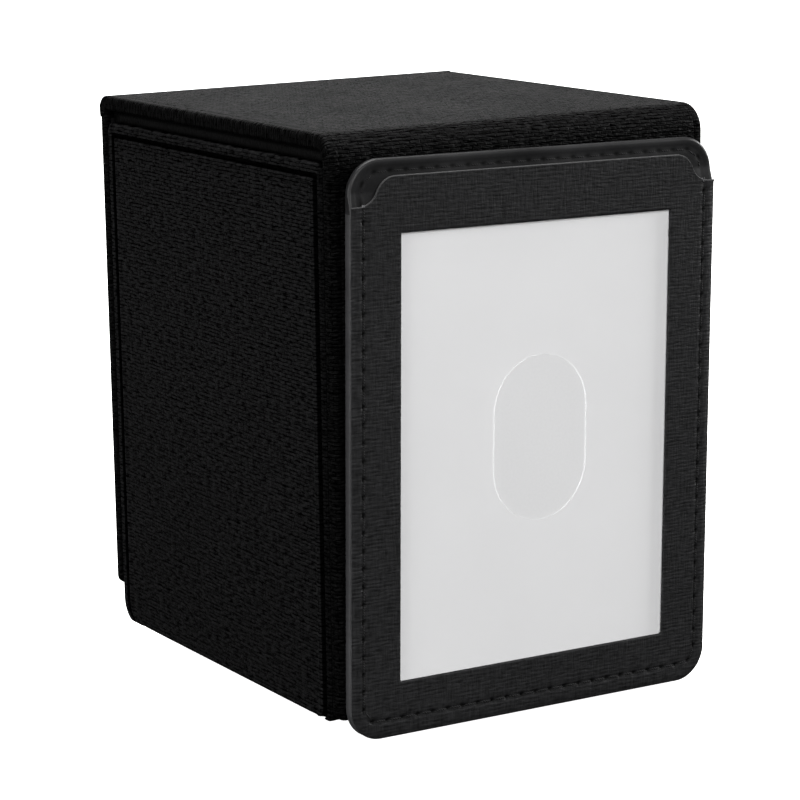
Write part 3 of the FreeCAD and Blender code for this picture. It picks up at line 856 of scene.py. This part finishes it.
def window_outline(grow=0.0):
    """The window's edge, point for point with front_outline."""
    half, top = WINDOW_W / 2 + grow, WINDOW_Z + WINDOW_H + grow
    points = [(x / POCKET_X * half, top) for x, _ in mouth_line(0.0)]
    return points + below_mouth(half, WINDOW_R + grow * 0.3, top, WINDOW_Z - grow)


def pocket_front_layer():
    y_face, y_back = FRONT_LAYER_Y, FILM_Y
    mouth_count = len(mouth_line(0.0))
    # Each row: its outline, its y, and how far in from the edge it is (None off the sewn margin).
    rows = [(window_outline(), y_back, None), (front_outline(0.03 * MM), y_back, None),
            (front_outline(0.0), y_back - 0.03 * MM, None)]
    for a in arc(6):
        rows.append((front_outline(FRONT_ROLL * (1 - math.cos(a))), y_face + FRONT_ROLL * (1 - math.sin(a)),
                     0.0))
    for inset in np.arange(0.4, 6.01, 0.2):
        rows.append((front_outline(inset * MM), y_face, inset * MM))
    begin, goal = front_outline(6.0 * MM), window_outline(0.5 * MM)
    for t in (0.12, 0.3, 0.5, 0.75, 1.0):
        rows.append(([(p[0] + (q[0] - p[0]) * t, p[1] + (q[1] - p[1]) * t) for p, q in zip(begin, goal)],
                     y_face, None))
    rows += [(window_outline(0.22 * MM), y_face + 0.01 * MM, None),
             (window_outline(0.06 * MM), y_face + 0.08 * MM, None),
             (window_outline(), y_face + 0.2 * MM, None)]
    points, painted_shades = [], []
    for outline, y, inset in rows:
        for i, (x, z) in enumerate(outline):
            depth, painted_shade = 0.0, 0.0
            # sewn groove and holes, and painted shade in the holes
            if inset and z < MOUTH_SEAM_Z - 0.3 * MM:
                depth, painted_shade = seam_marks(x, z, 0.10 * MM, 0.28 * MM)
            if inset is not None and i >= mouth_count:
                depth += MARGIN_D * max(0.0, 1 - inset / MARGIN_W) ** 2
            points.append((x, y + depth, z))
            painted_shades.append(painted_shade)
    columns = len(rows[0][0])
    faces = ring_faces(len(rows), columns, closed_rows=True)
    slots = []
    for index in range(len(faces)):
        row, column = divmod(index, columns)
        at_mouth = column < mouth_count - 1
        # slot 1 is the cut edge at the mouth; slot 2 the edge paint on the sides, lighter as a painted
        # highlight
        slots.append(1 if at_mouth and 1 <= row <= 7 else 2 if not at_mouth and 1 <= row <= 4 else 0)
    obj = make_object("pocket_front_layer", points, faces, planar_uv(points, faces, 0, 2), [LINEN, CUT, EDGE],
                      slots, sharp=50, masks={"painted_shade": painted_shades})
    return place(hang(obj), "lid", "crosshatch_leather", "pocket_front")


pocket_front_layer()


# ---- stitches ---------------------------------------------------------------------------------
OUT = Vector((0, -1, 0))


def capsule(points, faces, start, end, radius, sag, y, sides=8, rings=9):
    """Adds one stitch of thread from start to end, bowed outwards by sag."""
    begin, finish = Vector((start[0], y, start[1])), Vector((end[0], y, end[1]))
    across = (finish - begin).normalized().cross(OUT).normalized()
    base = len(points)
    for k in range(rings):
        t = k / (rings - 1)
        slim = radius * (0.35 + 0.65 * math.sin(math.pi * t) ** 0.4)
        centre = begin.lerp(finish, t) + OUT * sag * math.sin(math.pi * t)
        for s in range(sides):
            a = 2 * math.pi * s / sides
            points.append(centre + across * slim * math.cos(a) + OUT * slim * 0.7 * math.sin(a))
    for face in ring_faces(rings, sides) + end_caps(rings, sides):
        faces.append(tuple(base + i for i in face))


def stitch_run(name, keep, y, node):
    """The stitches whose middle height passes keep, at y."""
    points, faces = [], []
    for i in range(STITCHES):
        a, b = HOLES[i], HOLES[(i + 1) % STITCHES]
        if keep((a[1] + b[1]) / 2):
            mid = (a + b) / 2
            a, b = mid + (a - mid) * 0.72, mid + (b - mid) * 0.72
            capsule(points, faces, a, b, THREAD_R, THREAD_SAG, y)
    obj = make_object(name, points, faces, planar_uv(points, faces, 0, 2), [THREAD], sharp=70)
    return place(hang(obj), "lid", "black_thread", node)


stitch_run("seam_stitches", lambda z: z < MOUTH_SEAM_Z - 0.6 * MM, FRONT_LAYER_Y + 0.16 * MM, "seam_thread")
stitch_run("top_stitches", lambda z: z > MOUTH_SEAM_Z - 0.6 * MM, BACK_LAYER_Y + 0.26 * MM, "top_thread")


def frayed_tips():
    """Pale ends of thread that stand out where each side seam meets the mouth."""
    rng = np.random.default_rng(7)
    points, faces = [], []
    for side in (-1, 1):
        for _ in range(4):
            x = side * SEAM_X + rng.uniform(-0.45, 0.45) * MM
            z = MOUTH_SEAM_Z + rng.uniform(-0.3, 0.1) * MM
            tip = (x + rng.uniform(-0.5, 0.5) * MM, z + rng.uniform(0.2, 0.6) * MM)
            capsule(points, faces, (x, z - 0.2 * MM), tip, 0.06 * MM, rng.uniform(0, 0.3) * MM,
                    FRONT_LAYER_Y + rng.uniform(0.1, 0.4) * MM, sides=6, rings=6)
    obj = make_object("frayed_thread_ends", points, faces, planar_uv(points, faces, 0, 2), [FRAYED], sharp=70)
    return place(hang(obj), "lid", "black_thread")


frayed_tips()


# ---- window film ------------------------------------------------------------------------------
def window_film():
    """Thin film a little larger than the window, with a rounded slot for pushing the card up."""
    half, middle = WINDOW_W / 2 + 2 * MM, WINDOW_Z + WINDOW_H / 2
    tall = WINDOW_H / 2 + 2 * MM
    counts = (20, 30, 20, 30, 10)
    outer = rounded_outline(-half, half, middle - tall, middle + tall, 0.6 * MM, counts)
    inner = rounded_outline(THUMB_X - THUMB_W / 2, THUMB_X + THUMB_W / 2, THUMB_Z - THUMB_H / 2,
                            THUMB_Z + THUMB_H / 2, THUMB_W / 2 - 0.02 * MM, counts)
    y_mid = (FILM_Y + WELT_Y) / 2
    rows = []
    for t in (0.0, 0.12, 0.25, 0.4, 0.55, 0.7, 0.85, 0.97, 1.0):
        ring = [(p[0] + (q[0] - p[0]) * t, p[1] + (q[1] - p[1]) * t) for p, q in zip(outer, inner)]
        rows.append((ring, -0.05 * MM))
    rows.append(([(x * 1.01, z) for x, z in inner], 0.0))
    rows += [(ring, 0.05 * MM) for ring, _ in reversed(rows[:9])]
    points = []
    for ring, side in rows:
        for x, z in ring:
            wave = 0.02 * MM * math.sin(x * 95 + 0.6) * math.cos(z * 70)
            points.append((x, y_mid + side + wave, z))
    faces = ring_faces(len(rows), len(outer), closed_rows=True)
    # the faces round the slot's rim take the painted highlight
    slots = [1 if 8 <= index // len(outer) <= 9 else 0 for index in range(len(faces))]
    obj = make_object("display_film", points, faces, planar_uv(points, faces, 0, 2), [FILM, FILM_EDGE_HIGHLIGHT],
                      slots, sharp=60)
    obj.visible_shadow = False
    return place(hang(obj), "lid", "clear_film", "window_film")


window_film()


# ---- card -----------------------------------------------------------------------------------------
def blank_card():
    """Rounded card with softened edges. The rings on its flat faces keep their shading even."""
    counts = (12, 16, 12, 16, 8)
    soften = 0.07 * MM
    foot = POCKET_Z0 + WELT_W
    rows = [(inset * MM, CARD_BACK_Y) for inset in (2.0, 0.6)]
    rows += [(soften * (1 - math.sin(a)), CARD_BACK_Y - soften * (1 - math.cos(a))) for a in arc(3)]
    rows += [(soften * (1 - math.cos(a)), CARD_FRONT_Y + soften * (1 - math.sin(a))) for a in arc(3)]
    rows += [(inset * MM, CARD_FRONT_Y) for inset in (0.6, 2.0)]
    points = []
    for inset, y in rows:
        outline = rounded_outline(-CARD_W / 2, CARD_W / 2, foot, foot + CARD_H, CARD_R, counts, inset)
        points += [(x, y, z) for x, z in outline]
    columns = len(points) // len(rows)
    faces = ring_faces(len(rows), columns) + end_caps(len(rows), columns)
    obj = make_object("blank_card", points, faces, planar_uv(points, faces, 0, 2), [CARD], sharp=50)
    return place(hang(obj), "card", "blank_card", "display_card")


blank_card()


# ---- pieces kept from the model -------------------------------------------------------------------
def finish_node(name, material):
    mesh = bpy.data.objects[name].data
    mesh.materials.clear()
    mesh.materials.append(material)


for material, nodes in (
        (WALLS, ("tray_floor", "tray_left_wall", "tray_right_wall", "tray_front_wall", "tray_back_wall",
                 "underside_panel")),
        (LINING, ("floor_lining", "left_lining", "right_lining", "front_lining", "back_lining",
                  "lid_top_lining", "lid_front_lining")),
        (BOARD, ("back_board", "lid_top_board", "lid_front_board")),
        (METAL, ("tray_magnets", "lid_magnets"))):
    for node in nodes:
        finish_node(node, material)


# ---- studio -------------------------------------------------------------------------------------
def cyclorama():
    """Pale floor that curves up behind the object."""
    points, columns = [], 21
    bend, sink = 0.9, 0.0002
    profile = [(-2.5, 0.0), (bend, 0.0)]
    for a in arc(12):
        profile.append((bend + bend * math.sin(a), bend - bend * math.cos(a)))
    profile.append((2 * bend, 3.2))
    turn = math.radians(32.1)
    for along, up in profile:
        for x in np.linspace(-3.0, 3.0, columns):
            points.append((x * math.cos(turn) + along * math.sin(turn),
                           -x * math.sin(turn) + along * math.cos(turn), up - sink))
    faces = []
    for r in range(len(profile) - 1):
        for c in range(columns - 1):
            base = r * columns + c
            faces.append((base, base + 1, base + columns + 1, base + columns))
    mesh = bpy.data.meshes.new("studio_floor")
    mesh.from_pydata(points, [], faces)
    mesh.materials.append(backdrop("studio_paper"))
    mesh.polygons.foreach_set("use_smooth", [True] * len(faces))
    obj = bpy.data.objects.new("studio_floor", mesh)
    obj.visible_diffuse = False
    obj.visible_glossy = False
    bpy.context.scene.collection.objects.link(obj)


def softbox(name, location, target, width, height, power):
    """Rectangular light at location that faces target; power is in watts."""
    light = bpy.data.lights.new(name, "AREA")
    light.shape = "RECTANGLE"
    light.size, light.size_y = width, height
    light.energy = power
    obj = bpy.data.objects.new(name, light)
    obj.location = location
    obj.rotation_euler = (Vector(target) - Vector(location)).to_track_quat("-Z", "Y").to_euler()
    bpy.context.scene.collection.objects.link(obj)


def studio_world(tone):
    world = bpy.data.worlds.new("studio_world")
    world.use_nodes = True
    world.node_tree.nodes["Background"].inputs["Color"].default_value = (tone, tone, tone, 1)
    bpy.context.scene.world = world


def studio_camera():
    """Eye just above the box, to the left of its front."""
    azimuth, elevation, roll = map(math.radians, (32.1258, 12.0094, -0.8015))
    ahead = Vector((math.sin(azimuth) * math.cos(elevation), math.cos(azimuth) * math.cos(elevation),
                    -math.sin(elevation)))
    right = Vector((math.cos(azimuth), -math.sin(azimuth), 0))
    up = right.cross(ahead)
    right_rolled = right * math.cos(roll) + up * math.sin(roll)
    up_rolled = up * math.cos(roll) - right * math.sin(roll)
    camera = bpy.data.cameras.new("camera")
    camera.lens, camera.sensor_width = 126.802, 36.0
    camera.clip_start, camera.clip_end = 0.01, 20.0
    obj = bpy.data.objects.new("camera", camera)
    turn = Matrix((right_rolled, up_rolled, -ahead)).transposed()
    obj.matrix_world = Matrix.Translation((-0.28866, -0.458797, 0.167222)) @ turn.to_4x4()
    bpy.context.scene.collection.objects.link(obj)
    bpy.context.scene.camera = obj


cyclorama()
studio_world(0.01)
softbox("overhead", (0.0, 0.25, 1.0), (0, 0, 0.05), 0.9, 0.9, 25.0)
softbox("rear_glow", (0.7, 1.3, 0.5), (0, 0, 0.1), 0.9, 0.5, 3.6)
softbox("front_fill", (-0.35, -1.5, 0.75), (0, 0, 0.05), 0.9, 0.9, 25.2)
softbox("left_key", (-1.3, -0.25, 0.25), (0, 0, 0.05), 0.6, 0.6, 14.0)
softbox("rear_left", (-0.22, 0.22, 0.03), (-0.04, 0.0, 0.04), 0.15, 0.1, 0.1)
softbox("right_edge", (1.3, -0.2, 0.4), (0, 0, 0.05), 0.5, 0.5, 24.0)
studio_camera()
bpy.context.scene.view_settings.view_transform = "Standard"
